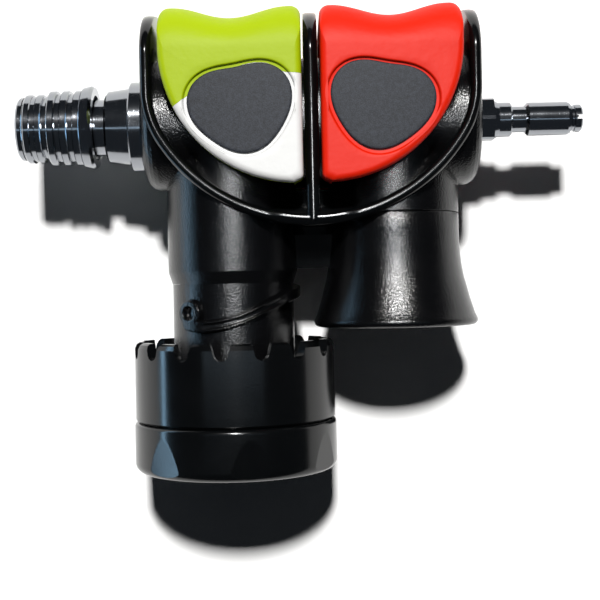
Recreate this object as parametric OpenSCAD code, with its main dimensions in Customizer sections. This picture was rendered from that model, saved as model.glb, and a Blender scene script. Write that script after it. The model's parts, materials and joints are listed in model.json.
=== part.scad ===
// Diver's in-line signalling device: a surface horn and an underwater signal on one air barrel.
// It lies on its back: +X towards the inlet plug, +Y towards the thumb buttons, +Z up to the front.
// Modules are drawn about the barrel's centre, with lengths in mm, and placed() moves them.

/* [Barrel] */
// Outside diameter of the barrel
barrel_d = 35; // [34:0.5:36]
// Length of the barrel
barrel_l = 89.5; // [88:0.5:94]
// Rounding of the barrel's end edges
barrel_round = 4; // [2:0.5:5]
// Diameter of the air passage
passage_d = 8; // [6:0.5:8.5]
// Distance of each sounder's axis from the middle
tube_x = 22; // [21:0.1:22.4]
// Diameter of the necks for the sounders
neck_d = 35; // [34:0.5:36]
// Reach of the signal neck below the barrel's axis
signal_neck = 43; // [38:0.5:43]
// Reach of the horn neck below the barrel's axis
horn_neck = 25; // [24:0.5:27]

/* [Guard] */
// Outside width of the guard
guard_w = 88; // [87:0.2:89]
// Depth of the guard, front to back
guard_depth = 40.5; // [38:0.5:44]
// Wall of the guard
guard_wall = 3; // [2.6:0.2:3.4]
// Height of the guard above the barrel's axis
guard_top = 29.5; // [26:0.5:31]
// Height at which the guard's front edge starts to curve back
guard_crown = 16; // [12:0.5:18]
// Reach of the guard below the barrel's axis
guard_drop = 28.5; // [28:0.5:30]
// Radius of the guard's lower corners
guard_corner = 23.5; // [20:0.5:26]
// Height at which the guard's sides start to curve
guard_bend = 7; // [4:0.5:9]
// Thickness of the divider between the buttons
divider_t = 3.6; // [3.2:0.2:3.8]
// Depth of the bridge below the guard
bridge_depth = 8; // [7.6:0.2:12]
// Width of the web inside the guard
web_w = 27; // [20:0.5:28]
// Height of the web above the guard's bottom
web_h = 9; // [6:0.5:10]
// Depth of the web, front to back
web_depth = 34.6; // [30:0.2:34.6]
// Reach of the bridge below the barrel's axis
bridge_end = 39.2; // [38:0.5:41]
// Diameter of the guard screws
screw_d = 1.8; // [1.6:0.1:2]
// Length of the divider's screw, without its head
divider_screw = 26; // [22:0.5:28]
// Length of the bridge's screw, without its head
bridge_screw = 5.5; // [5:0.1:6]

/* [Buttons] */
// Gap between the middle plane and a button
button_in = 2.4; // [2.2:0.1:2.6]
// Outer side of a button, from the middle
button_out = 38.7; // [38:0.1:39.5]
// Height of a button's top above the barrel's axis
button_top = 28.4; // [26.2:0.2:28.6]
// Depth of a button, front to back
button_depth = 53; // [52:0.2:54.4]
// Radius of a button's lower edge
button_r = 35.1; // [34:0.1:36]
// Height of that edge's centre above the barrel's axis
button_pivot = 17.2; // [16:0.2:18]
// Dip of the saddle in the button's top
saddle_dip = 2.7; // [2:0.1:3]
// Width of the saddle
saddle_w = 27; // [22:0.5:28]
// Rounding of the button's top, front and back
crown_r = 10.5; // [8:0.5:12]
// Bevel of the button's edges
button_edge = 1.8; // [1.2:0.1:2.2]
// Wall of a button
button_wall = 2.4; // [2:0.1:2.6]
// Travel of a button
travel = 3.5; // [2.5:0.1:3.6]
// Mean radius of a label plate
label_r = 12.1; // [11:0.1:12.6]
// Thickness of a label plate
label_t = 0.8; // [0.6:0.1:1]
// Thickness of the signal button's lower panel
panel_t = 1.9; // [1.6:0.1:2]

/* [Valves] */
// Diameter of a valve stem
stem_d = 3; // [2.6:0.1:3.2]
// Diameter of the head below the seat
head_d = 8.4; // [7.6:0.1:8.6]
// Diameter of the valve chamber
chamber_d = 12; // [11.5:0.1:12.5]
// Diameter of the stem guide
guide_d = 10; // [9:0.5:10.5]
// Diameter of the well for the return spring
well_d = 13.4; // [13:0.2:14]
// Wire of the return springs
spring_wire = 1; // [0.8:0.1:1.1]

/* [Signal] */
// Outside diameter of the signal tube
signal_d = 32.7; // [32:0.1:33.4]
// Reach of the signal tube below the barrel's axis
signal_end = 75; // [74.5:0.5:77]
// Depth of the striker's upper stop below the neck
striker_drop = 7; // [6.6:0.1:9]
// Depth of the recess for the striker's plate
plate_recess = 3.6; // [3.2:0.1:4]
// Diameter of the striker
striker_d = 21.9; // [20:0.1:22.5]
// Length of the striker's body
striker_l = 10; // [8:0.5:11]
// Travel of the striker
striker_travel = 2.2; // [1.5:0.1:2.4]
// Diameter of the tube's upper spigot
spigot_d = 28.8; // [28:0.1:29.4]
// Rise of the cam rib in one turn
cam_pitch = 20; // [16:0.5:20.5]
// Height of the cam rib above the tube
cam_height = 1.9; // [1.4:0.1:2]
// Width of the cam rib
cam_w = 2.4; // [2:0.1:2.8]

/* [Volume cap] */
// Diameter of the cap's notched skirt
cap_d = 54; // [53:0.2:54.4]
// Diameter of the cap's end ring
cap_end_d = 54.6; // [54.4:0.1:55]
// Top of the cap's teeth, below the barrel's axis
cap_top = 58.3; // [58:0.1:59]
// Height of the cap, teeth included
cap_h = 34.9; // [34:0.1:37]
// Height of the cap's end ring
cap_end_h = 13.6; // [9:0.1:14]
// Wall of the cap's skirt
cap_wall = 2.6; // [2.2:0.1:3]
// Depth of the notches
notch_depth = 4.3; // [3.6:0.1:4.6]
// Width of the notches at the top
notch_w = 6; // [5:0.1:6.6]
// Number of notches
notches = 16; // [14:1:18]
// Number of flats round the end ring
flats = 7; // [6:1:8]
// Turn of the cap, in degrees
cap_turn = 90; // [60:5:95]

/* [Horn] */
// Diameter of the bell's lip
bell_d = 44; // [42:0.5:45]
// Reach of the bell below the barrel's axis
bell_end = 55.3; // [53:0.1:55.6]
// Diameter of the horn's throat
throat_d = 9; // [7:0.5:10]
// Wall of the bell at its mouth
bell_wall = 2.4; // [2:0.1:3]
// Diameter of the diaphragm
diaphragm_d = 29.6; // [28:0.1:30]

/* [Inlet plug] */
// Diameter of the plug
plug_d = 9; // [8.9:0.05:9.1]
// Length of the plug's main cylinder
plug_l = 12.5; // [12:0.1:15]
// Diameter of the locking groove
plug_neck_d = 7; // [6.6:0.1:7.4]
// Width of the locking groove
plug_neck_l = 3.8; // [3:0.1:4.5]
// Hexagon size across its flats
hex_af = 11; // [10.4:0.1:12]
// Thickness of the hexagon
hex_t = 4.7; // [3:0.1:5]
// Diameter of the plug's threaded shank
inlet_shank_d = 10; // [9.4:0.1:10.4]

/* [Outlet socket] */
// Diameter of the socket's bore
socket_bore = 9.1; // [9.05:0.05:9.2]
// Outside diameter of the socket's barrel
socket_d = 15.3; // [15:0.1:15.5]
// Length of the socket outside the adapter
socket_l = 23.7; // [23.6:0.1:26]
// Diameter of the adapter's collar
collar_d = 24.3; // [23:0.1:26]
// Thickness of the adapter's collar
collar_t = 3.8; // [3:0.1:5.5]
// Length of the adapter's tapered part
taper_l = 6.6; // [6:0.1:7]
// Diameter of the sleeve
sleeve_d = 18.6; // [18.4:0.1:19]
// Height of the sleeve's grip ribs
grip_h = 0.9; // [0.5:0.1:1.1]
// Travel of the sleeve
sleeve_travel = 2.8; // [2:0.1:2.9]
// Diameter of a locking ball
ball_d = 2.9; // [2.7:0.05:2.9]
// Travel of the poppet
poppet_travel = 2; // [1.2:0.1:2.2]

/* [Fits] */
// Radial gap where one piece runs or slides on another
run_gap = 0.05; // [0.04:0.01:0.08]
// Gap between pieces that are assembled together
seat_gap = 0.1; // [0.06:0.01:0.12]
// Least gap between moving pieces that aren't a fit
free_gap = 0.3; // [0.2:0.05:0.4]

/* [Hidden] */

$fn = 96;
eps = 0.01;
barrel_r = barrel_d / 2;
half_l = barrel_l / 2;
neck_r = neck_d / 2;

// The part stands with its lowest point on z = 0, and its box is centred in x and y
plug_end = half_l + hex_t + 1.4 + 3.5 + plug_neck_l + plug_l + 2.8;
socket_end = half_l + collar_t + taper_l + socket_l;
cap_bottom = cap_top + cap_h;
rest_x = (socket_end - plug_end) / 2;
rest_y = (cap_bottom - max(button_top, guard_top)) / 2;
rest_z = cap_end_d / 2;

module placed() translate([rest_x, rest_y, rest_z]) children();
module at_signal() translate([-tube_x, 0, 0]) children();
module at_horn() translate([tube_x, 0, 0]) children();

// Round bars and turned shapes about the X, Y and Z directions
module bar_x(r, from, to)
    translate([min(from, to), 0, 0]) rotate([0, 90, 0]) cylinder(r = r, h = abs(to - from));
module bar_y(r, from, to)
    translate([0, min(from, to), 0]) rotate([-90, 0, 0]) cylinder(r = r, h = abs(to - from));
module bar_z(r, from, to)
    translate([0, 0, min(from, to)]) cylinder(r = r, h = abs(to - from));
module turned_x(points) rotate([0, 90, 0]) rotate_extrude() polygon(points);
module turned_y(points) rotate([-90, 0, 0]) rotate_extrude() polygon(points);
module pipe_x(outer, inner, from, to) difference() {
    bar_x(outer, from, to);
    bar_x(inner, min(from, to) - 1, max(from, to) + 1);
}
module pipe_y(outer, inner, from, to) difference() {
    bar_y(outer, from, to);
    bar_y(inner, min(from, to) - 1, max(from, to) + 1);
}
module ring_y(centre_r, section_r, y)
    translate([0, y, 0]) rotate([-90, 0, 0])
        rotate_extrude() translate([centre_r, 0]) circle(section_r);
module ring_x(centre_r, section_r, x)
    translate([x, 0, 0]) rotate([0, 90, 0])
        rotate_extrude() translate([centre_r, 0]) circle(section_r);
module side_plate(from_x, to_x) translate([from_x, 0, 0]) rotate([90, 0, 90])
    linear_extrude(to_x - from_x) children();

// Points of an arc, for outlines
function arc(cx, cy, r, from, to, steps = 6) =
    [for (i = [0:steps]) let (a = from + (to - from) * i / steps) [cx + r * cos(a), cy + r * sin(a)]];

// A rectangle with rounded corners, as points
function rounded_box(x0, y0, x1, y1, r) = concat(
    arc(x1 - r, y0 + r, r, -90, 0, 4), arc(x1 - r, y1 - r, r, 0, 90, 4),
    arc(x0 + r, y1 - r, r, 90, 180, 4), arc(x0 + r, y0 + r, r, 180, 270, 4));

// One unbroken tube along a helix about Y, as a wound spring
module coil_y(mean_r, wire_r, from, to, turns, steps = 8) {
    rings = turns * steps;
    length = to - from - 2 * wire_r;
    points = [for (i = [0:rings]) let (a = 360 * i / steps, y = from + wire_r + length * i / rings)
        for (j = [0:5]) let (b = j * 60, r = mean_r + wire_r * cos(b))
            [r * cos(a), y + wire_r * sin(b), -r * sin(a)]];
    sides = [for (i = [0:rings - 1], j = [0:5]) let (p = i * 6 + j, q = i * 6 + (j + 1) % 6)
        each [[p, q, q + 6], [p, q + 6, p + 6]]];
    ends = concat([for (j = [1:4]) [0, j + 1, j]],
        [for (j = [1:4]) [rings * 6, rings * 6 + j, rings * 6 + j + 1]]);
    polyhedron(points, concat(sides, ends));
}

// ---- Valve body ----

well_floor = barrel_r - 7.5;
guide_floor = well_floor - 3;
seal_floor = guide_floor - 1.9;
chamber_top = -(passage_d / 2 + 2);
seat_t = 3;
chamber_end = -(barrel_r + 2.5);
inlet_shank_l = 10;
outlet_shank_d = 14;
outlet_shank_l = 10;
signal_socket_top = -(signal_neck - 10.7);

module barrel_shape() turned_x(concat([[0, -half_l]],
    arc(barrel_r - barrel_round, -half_l + barrel_round, barrel_round, -90, 0),
    arc(barrel_r - barrel_round, half_l - barrel_round, barrel_round, 0, 90), [[0, half_l]]));

// Chamfer of the nearly flush seam between the horn's neck and its bell
seam_chamfer = 0.15;
// The signal neck's long chamfer leads down to the thinner tube
neck_chamfer = (neck_d - signal_d) / 2 - 0.1;
neck_chamfer_l = 3.2;
module neck(end, chamfer, chamfer_l) {
    turned_y([[0, -6], [neck_r, -6], [neck_r, -end + chamfer_l], [neck_r - chamfer, -end], [0, -end]]);
}

module valve_bores() {
    bar_y(well_d / 2, well_floor, barrel_r + 5);
    bar_y(guide_d / 2, guide_floor, well_floor + eps);
    bar_y(stem_d / 2 + 1.7, seal_floor, guide_floor + eps);
    bar_y(stem_d / 2 + free_gap, 0, seal_floor + eps);
    bar_y(chamber_d / 4, chamber_top - eps, 0);
    bar_y(chamber_d / 2, chamber_end - 1, chamber_top);
}

module valve_body() color("#1b1c1f") placed() difference() {
    union() {
        barrel_shape();
        at_signal() neck(signal_neck, neck_chamfer, neck_chamfer_l);
        at_horn() neck(horn_neck, seam_chamfer, seam_chamfer);
    }
    bar_x(passage_d / 2, -half_l - 1, half_l + 1);
    bar_x(inlet_shank_d / 2 + seat_gap, half_l - inlet_shank_l, half_l + 1);
    bar_x(outlet_shank_d / 2 + seat_gap, -half_l - 1, -half_l + outlet_shank_l);
    pipe_x(inlet_shank_d / 2 + 1.5, inlet_shank_d / 4, half_l - 1.3, half_l + 1);
    pipe_x(outlet_shank_d / 2 + 1.9, outlet_shank_d / 4, -half_l - 1, -half_l + 1.3);
    at_signal() {
        valve_bores();
        bar_y(spigot_d / 2 - 3, chamber_end, signal_socket_top);
        bar_y(spigot_d / 2 + seat_gap, -signal_neck - 1, signal_socket_top);
    }
    at_horn() {
        valve_bores();
        bar_y(diaphragm_d / 2 + seat_gap, -horn_neck - 1, -horn_neck + diaphragm_pocket);
    }
}

// ---- Guard ----

guard_half = guard_depth / 2;
// Radii and centres on the middle of the guard's wall: the corner arcs run into the bottom arc
side_x = guard_w / 2 - guard_wall / 2;
bottom_y = -(guard_drop - guard_wall / 2);
corner_x = side_x - guard_corner;
bend_rise = guard_bend - bottom_y;
bottom_r = (corner_x * corner_x + bend_rise * bend_rise - guard_corner * guard_corner)
    / (2 * (bend_rise - guard_corner));
bottom_centre = bottom_y + bottom_r;
// Angle below the horizontal at which the two arcs meet
meet_angle = atan2(bottom_centre - guard_bend, corner_x);

// Half of a wall's section, with its rounded front edge: x across the wall, y to the front
function edge_section(t) = concat([[-t / 2, 0], [t / 2, 0]], arc(0, guard_half - t / 2, t / 2, 0, 180, 8));

// Above the crown's start a wall's front edge curves back on an ellipse, until it is half a round
function crown_end(t) = acos((t / 2 + eps) / guard_half);
function crown_y(a, t) = guard_crown + (guard_top - guard_crown) * sin(a) / sin(crown_end(t));
function crown_drop(y, t) = y <= guard_crown ? 0
    : guard_half * (1 - cos(asin((y - guard_crown) / (guard_top - guard_crown) * sin(crown_end(t)))));
crown_steps = 12;
// Places down the crown, from the top, on a wall whose outward direction is side
function crown_path(x, side, t) = [for (i = [0:crown_steps])
    [x, crown_y(crown_end(t) * (1 - i / crown_steps), t), side, 0]];
function backwards(list) = [for (i = [len(list) - 1:-1:0]) list[i]];

// Places along a curve, each with its outward direction
function turn(cx, cy, r, from, to, steps) = [for (i = [1:steps])
    let (a = from + (to - from) * i / steps) [cx + r * cos(a), cy + r * sin(a), cos(a), sin(a)]];
guard_path = concat(crown_path(-side_x, -1, guard_wall), [[-side_x, guard_bend, -1, 0]],
    turn(-corner_x, guard_bend, guard_corner, 180, 180 + meet_angle, 10),
    turn(0, bottom_centre, bottom_r, 180 + meet_angle, 360 - meet_angle, 24),
    turn(corner_x, guard_bend, guard_corner, 360 - meet_angle, 360, 10),
    backwards(crown_path(side_x, 1, guard_wall)));
divider_path = concat(crown_path(0, -1, divider_t), [[0, bottom_y, -1, 0]]);

// The front half of a wall that follows a path
module wall(path, t) {
    section = edge_section(t);
    n = len(section);
    last = (len(path) - 1) * n;
    points = [for (p = path, e = section)
        [p[0] + p[2] * e[0], p[1] + p[3] * e[0], e[1] > 0 ? e[1] - crown_drop(p[1], t) : 0]];
    sides = [for (i = [0:len(path) - 2], j = [0:n - 1])
        let (p = i * n + j, q = i * n + (j + 1) % n) each [[p, q, q + n], [p, q + n, p + n]]];
    ends = concat([for (j = [1:n - 2]) [0, j + 1, j]], [for (j = [1:n - 2]) [last, last + j, last + j + 1]]);
    polyhedron(points, concat(sides, ends));
}

module guard_half_shell() difference() {
    union() {
        wall(guard_path, guard_wall);
        wall(divider_path, divider_t);
        bridge();
        web();
    }
    bar_x(barrel_r + seat_gap, -half_l - 5, half_l + 5);
    for (side = [-1, 1]) translate([side * tube_x, 0, 0])
        bar_y(neck_r + seat_gap, -bridge_end - 20, 5);
    at_horn() turned_y(concat([[0, 0], [neck_r + seat_gap, 0]], bell_flare(seat_gap), [[0, -bell_end + 1]]));
}

// The web between the two necks, inside the hoop, with a rounded front edge at each side
module web() intersection() {
    translate([0, bottom_y + web_h, 0]) rotate([90, 0, 0]) linear_extrude(web_h)
        polygon(concat([[-web_w / 2, 0], [web_w / 2, 0]],
            arc(web_w / 2 - 2, web_depth / 2 - 2, 2, 0, 90, 4), arc(2 - web_w / 2, web_depth / 2 - 2, 2, 90, 180, 4)));
    translate([0, bottom_centre, 0]) bar_z(bottom_r, -eps, guard_half);
}

// The bridge between the two necks, with its small ledge
ledge_w = 11;
ledge_h = 2;
module bridge() {
    translate([-tube_x + 4, -bridge_end, 0])
        cube([2 * tube_x - 8, bridge_end + bottom_y, bridge_depth / 2]);
    translate([0, bottom_y + eps, 0]) rotate([90, 0, 0]) linear_extrude(ledge_h + guard_wall / 2)
        polygon([[-ledge_w / 2, 0], [ledge_w / 2, 0], [ledge_w / 2, bridge_depth / 2 + 2],
            [ledge_w / 2 - 2, bridge_depth / 2 + 3.5], [2 - ledge_w / 2, bridge_depth / 2 + 3.5],
            [-ledge_w / 2, bridge_depth / 2 + 2]]);
}

// Each screw: its height, its seat, its length and its head's radius
screws = [[barrel_r + 3.2, -guard_half + 4, divider_screw, screw_d / 2 + 0.5],
    [-(bridge_end + guard_drop) / 2, -bridge_depth / 2 + 1.6, bridge_screw, screw_d / 2 + 0.8]];
screw_head_t = 1.2;

module guard_front() color("#17181b") placed() difference() {
    guard_half_shell();
    for (screw = screws) translate([0, screw[0], 0])
        bar_z(screw_d / 2 + run_gap, -1, screw[1] + screw[2] + seat_gap);
}

module guard_rear() color("#17181b") placed() difference() {
    mirror([0, 0, 1]) guard_half_shell();
    for (screw = screws) translate([0, screw[0], 0]) {
        bar_z(screw_d / 2 + seat_gap, screw[1] - 1, 1);
        bar_z(screw[3] + seat_gap, -guard_half - 1, screw[1]);
    }
}

module guard_screws() color("silver") placed() for (screw = screws)
    translate([0, screw[0], screw[1]]) difference() {
        union() {
            bar_z(screw_d / 2, 0, screw[2]);
            bar_z(screw[3], -screw_head_t, 0);
        }
        translate([0, 0, -screw_head_t - eps]) cylinder(r = screw_d / 3, h = 0.7, $fn = 6);
    }

// ---- Buttons, drawn on the right-hand side ----

button_half = button_depth / 2;
button_mid = (button_in + button_out) / 2;
pivot_x = button_out - button_r;
roof = button_top - saddle_dip - button_wall;
button_corner = 2.2;
label_x = pivot_x + 14.1;
label_y = 1.5;

// Height of the saddle's top edge at x
function saddle(x) = abs(x - button_mid) > saddle_w / 2 ? button_top
    : button_top - saddle_dip * (1 + cos(360 * (x - button_mid) / saddle_w)) / 2;

function button_outline(inset) = let (r = button_r - inset, out = button_out - inset, in = button_in + inset,
        low = -acos((in - pivot_x) / r), x0 = button_mid + saddle_w / 2, steps = 16) concat(
    arc(pivot_x, button_pivot, r, low, 0, 24),
    arc(out - button_corner, button_top - inset - button_corner, button_corner, 0, 90),
    [for (i = [0:steps]) let (x = x0 - saddle_w * i / steps) [x, saddle(x) - inset]],
    arc(in + button_corner, button_top - inset - button_corner, button_corner, 90, 180));

// The solid inside a button's outer skin
module button_block() intersection() {
    translate([0, 0, -button_half]) linear_extrude(button_depth) polygon(button_outline(0));
    // Seen from above: bevelled sides
    rotate([90, 0, 0]) translate([0, 0, -button_top - 1]) linear_extrude(2 * button_r + button_top)
        polygon(rounded_box(button_in, -button_half, button_out, button_half, button_edge));
    // Seen from the side: a broad crown at the top
    side_plate(0, button_out + 1) polygon(concat([[-button_r, -button_half]],
        arc(button_top - crown_r, -button_half + crown_r, crown_r, -90, 0, 8),
        arc(button_top - crown_r, button_half - crown_r, crown_r, 0, 90, 8), [[-button_r, button_half]]));
    // The lower edge's bevel follows its curve
    union() {
        translate([pivot_x, button_pivot, 0]) rotate_extrude() polygon(concat([[0, -button_half]],
            arc(button_r - button_edge, -button_half + button_edge, button_edge, -90, 0, 4),
            arc(button_r - button_edge, button_half - button_edge, button_edge, 0, 90, 4),
            [[0, button_half]]));
        translate([0, button_pivot, -button_half])
            cube([button_out, button_top, button_depth]);
    }
}

module button_hollow() {
    inner_half = button_half - button_wall - 1;
    inner_crown = crown_r - button_wall - 1;
    intersection() {
        translate([button_in + button_wall, -2 * button_r, -inner_half])
            cube([button_out - button_in - 2 * button_wall, 2 * button_r + roof, 2 * inner_half]);
        side_plate(0, button_out + 1) polygon(concat([[-2 * button_r, -inner_half]],
            arc(roof - inner_crown, -inner_half + inner_crown, inner_crown, -90, 0),
            arc(roof - inner_crown, inner_half - inner_crown, inner_crown, 0, 90),
            [[-2 * button_r, inner_half]]));
    }
    // The way through for the barrel, as far as the button travels
    slot_r = barrel_r + free_gap;
    translate([-1, 0, 0]) {
        translate([0, travel, 0]) bar_x(slot_r, 0, button_out + 5);
        translate([0, travel - 2 * button_r, -slot_r]) cube([button_out + 5, 2 * button_r, 2 * slot_r]);
    }
}

// Radius of a label's outline at an angle: three bulging sides
function label_points(grow) = [for (a = [0:10:350])
    let (r = label_r + grow + 1.1 * cos(2 * (a + 8)) + 1 * cos(3 * (a - 19)))
        [label_x + r * cos(a), label_y + r * sin(a)]];

module label_plate(grow, from, to) translate([0, 0, from]) linear_extrude(to - from)
    polygon(label_points(grow));
module both_faces() for (side = [0, 1]) mirror([0, 0, side]) children();

boss_r = stem_d / 2 + 2;
boss_end = roof - 5;
stem_top = roof - 1;

module button_shell() difference() {
    union() {
        difference() {
            button_block();
            button_hollow();
        }
        translate([tube_x, 0, 0]) bar_y(boss_r, boss_end, roof + 1);
    }
    translate([tube_x, 0, 0]) bar_y(stem_d / 2 + run_gap, boss_end - 1, stem_top + seat_gap);
    both_faces() label_plate(seat_gap, button_half - label_t - seat_gap, button_half + 1);
}

// Everything of the signal button that lies below its colour line
module panel_zone(grow) both_faces() translate([0, 0, button_half - panel_t - grow])
    linear_extrude(panel_t + 2) polygon([[button_out + 2, 0.4 + grow], [34.5, 1.6 + grow], [31, 4 + grow],
        [10, 12 + grow], [7.2, 10.2 + grow], [0, 9.6 + grow], [0, -2 * button_r],
        [button_out + 2, -2 * button_r]]);

module signal_button() color("#c4da1e") placed() mirror([1, 0, 0]) difference() {
    button_shell();
    panel_zone(seat_gap / 2);
}

module signal_button_panel() color("white") placed() mirror([1, 0, 0]) difference() {
    intersection() {
        button_block();
        panel_zone(0);
    }
    both_faces() label_plate(seat_gap, button_half - label_t - seat_gap, button_half + 1);
}

module horn_button() color("#ff4010") placed() button_shell();

module labels() both_faces()
    label_plate(0, button_half - label_t, button_half - 0.15);
module signal_labels() color("#3b3d42") placed() mirror([1, 0, 0]) labels();
module horn_labels() color("#3b3d42") placed() labels();

// ---- Valves, one for each button, drawn about the stem ----

seat_y = chamber_top - seat_t;
disc_t = 1;
head_top = seat_y - seat_gap - disc_t;
head_t = 2;

module stem() turned_y([[0, stem_top], [stem_d / 2, stem_top], [stem_d / 2, head_top],
    [head_d / 2, head_top], [head_d / 2, head_top - head_t], [0, head_top - head_t]]);
module head_disc() pipe_y(head_d / 2 - 0.3, stem_d / 2 + run_gap, head_top, head_top + disc_t);
module return_spring() coil_y(boss_r + spring_wire / 2 + 0.6, spring_wire / 2,
    well_floor + run_gap, roof - run_gap, 5);
module stem_guide() pipe_y(guide_d / 2 - seat_gap / 2, stem_d / 2 + run_gap, guide_floor, well_floor);
module stem_seal() ring_y(stem_d / 2 + 0.95, 0.7, (seal_floor + guide_floor) / 2);
module valve_seat() pipe_y(chamber_d / 2 - seat_gap / 2, stem_d / 2 + 1, seat_y, chamber_top);
module seat_ring() pipe_y(chamber_d / 2 - seat_gap / 2, head_d / 2 + free_gap, seat_y - seat_t, seat_y);

module signal_stem() color("silver") placed() at_signal() stem();
module horn_stem() color("silver") placed() at_horn() stem();
module signal_head_disc() color("#202020") placed() at_signal() head_disc();
module horn_head_disc() color("#202020") placed() at_horn() head_disc();
module signal_return_spring() color("gray") placed() at_signal() return_spring();
module horn_return_spring() color("gray") placed() at_horn() return_spring();
module signal_stem_guide() color("goldenrod") placed() at_signal() stem_guide();
module horn_stem_guide() color("goldenrod") placed() at_horn() stem_guide();
module signal_stem_seal() color("#202020") placed() at_signal() stem_seal();
module horn_stem_seal() color("#202020") placed() at_horn() stem_seal();
module signal_valve_seat() color("goldenrod") placed() at_signal() valve_seat();
module horn_valve_seat() color("goldenrod") placed() at_horn() valve_seat();
module signal_seat_ring() color("goldenrod") placed() at_signal() seat_ring();
module horn_seat_ring() color("goldenrod") placed() at_horn() seat_ring();

// ---- Signal side ----

signal_r = signal_d / 2;
bore_r = striker_d / 2 + run_gap;
striker_top = -(signal_neck + striker_drop);
nose_r = 5;
plate_t = 1.6;
plate_y = -(signal_end - plate_recess);
nose_end = plate_y + striker_travel + free_gap;
plate_pocket_r = bore_r + 1.8;
stop_t = 3;

module signal_tube() color("#1b1c1f") placed() at_signal() difference() {
    turned_y([[0, signal_socket_top - 0.5], [spigot_d / 2, signal_socket_top - 0.5],
        [spigot_d / 2, -signal_neck - run_gap], [signal_r, -signal_neck - run_gap],
        [signal_r, -signal_end + 0.8], [signal_r - 0.8, -signal_end], [0, -signal_end]]);
    bar_y(bore_r - 1, signal_socket_top + 1, striker_top + stop_t);
    bar_y(bore_r - 3, striker_top - 1, striker_top + stop_t + 1);
    bar_y(bore_r, -signal_end - 1, striker_top);
    bar_y(plate_pocket_r, -signal_end - 1, plate_y);
    pipe_y(signal_r + 1, signal_r - 1, retainer_y - retainer_t - seat_gap, retainer_y + seat_gap);
}

// The cam rib winds up the tube from its rounded foot, measured from the front towards +X
cam_foot = -50;
cam_sweep = 194;
cam_low = cap_top - 2.7;
function cam_y(a) = -cam_low + cam_pitch * (a - cam_foot) / 360;

// The rib's foot tapers to a rounded end
function swell(i) = i < 3 ? [0.35, 0.75, 0.95][i] : 1;

module cam_rib() color("#1b1c1f") placed() at_signal() {
    steps = 48;
    in = signal_r + run_gap;
    out = signal_r + cam_height;
    soft = 0.7;
    half = cam_w / 2;
    section = [[in, -half], [out - soft, -half], [out, -half + soft], [out, half - soft],
        [out - soft, half], [in, half]];
    points = [for (i = [0:steps]) let (a = cam_foot + cam_sweep * i / steps)
        for (p = section) [p[0] * sin(a), cam_y(a) + p[1] * swell(i), p[0] * cos(a)]];
    sides = [for (i = [0:steps - 1], j = [0:5]) let (p = i * 6 + j, q = i * 6 + (j + 1) % 6)
        each [[p, q + 6, q], [p, p + 6, q + 6]]];
    ends = concat([for (j = [1:4]) [0, j, j + 1]],
        [for (j = [1:4]) [steps * 6, steps * 6 + j + 1, steps * 6 + j]]);
    polyhedron(points, concat(sides, ends));
}

module striker() color("goldenrod") placed() at_signal() turned_y([[0, striker_top - run_gap],
    [striker_d / 2 - 1, striker_top - run_gap], [striker_d / 2, striker_top - 1],
    [striker_d / 2, striker_top - striker_l], [nose_r, striker_top - striker_l],
    [nose_r, nose_end + 1], [nose_r - 1, nose_end], [0, nose_end]]);
module striker_spring() color("gray") placed() at_signal()
    coil_y(nose_r + 2.4, 0.6, plate_y + run_gap, striker_top - striker_l - run_gap, 5);
module striker_plate() color("silver") placed() at_signal()
    bar_y(plate_pocket_r - seat_gap / 2, plate_y - plate_t, plate_y);
module plate_ring() color("goldenrod") placed() at_signal()
    pipe_y(plate_pocket_r - seat_gap / 2, plate_pocket_r - 3, -signal_end, plate_y - plate_t);

// ---- Volume cap ----

cap_r = cap_d / 2;
cap_end_r = cap_end_d / 2;
deck_y = -(cap_top + notch_depth + 0.3);
deck_t = 1.4;
hub_end = deck_y - 3.4;
hub_r = signal_r + 4.2;
seam_y = -(cap_bottom - cap_end_h);
cap_drop = cam_pitch * cap_turn / 360;
retainer_y = hub_end - cap_drop - free_gap;
retainer_t = 1.4;
seal_section = 0.7;
seal_r = signal_r + run_gap * 2 + seal_section;
seal_y = hub_end + 1.2;
follower_angle = 140;
follower_r = signal_r + 1.15;
skirt_in = cap_r - cap_wall;
ring_lap = 5;

module cap_retainer() color("silver") placed() at_signal() difference() {
    pipe_y(signal_r + 1.8, signal_r - 1 + seat_gap, retainer_y - retainer_t, retainer_y);
    translate([0, retainer_y - 3, -signal_r - 5]) cube([2, 6, 10]);
}

module cap_seal() color("#202020") placed() at_signal() ring_y(seal_r, seal_section, seal_y);

module notch() {
    foot_r = notch_w * 0.34;
    translate([0, -cap_top - notch_depth, skirt_in - 2]) linear_extrude(cap_wall + 4)
        polygon(concat(arc(0, foot_r, foot_r, 180, 360, 8),
            [[notch_w / 2, notch_depth + 1], [-notch_w / 2, notch_depth + 1]]));
}

// One notch lies a little to the left of the front
notch_start = -4.6;

module volume_cap() color("#1b1c1f") placed() at_signal() difference() {
    hub_bore = signal_r + run_gap;
    groove_r = seal_r + seal_section + run_gap;
    groove_half = seal_section + 0.1;
    turned_y([[hub_bore, deck_y], [skirt_in, deck_y], [skirt_in, -cap_top], [cap_r - 1.3, -cap_top],
        [cap_r - 0.5, -cap_top - 0.5], [cap_r, -cap_top - 1.6], [cap_r, seam_y + 0.6],
        [cap_r - 0.6, seam_y], [skirt_in, seam_y], [skirt_in, deck_y - deck_t], [hub_r, deck_y - deck_t],
        [hub_r, hub_end], [hub_bore, hub_end], [hub_bore, seal_y - groove_half],
        [groove_r, seal_y - groove_half], [groove_r, seal_y + groove_half],
        [hub_bore, seal_y + groove_half]]);
    for (i = [0:notches - 1]) rotate([0, notch_start + 360 * i / notches, 0]) notch();
    rotate([0, follower_angle, 0]) translate([0, 0, follower_r])
        bar_y(0.8 + run_gap, deck_y - 1, deck_y + 1);
}

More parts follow.
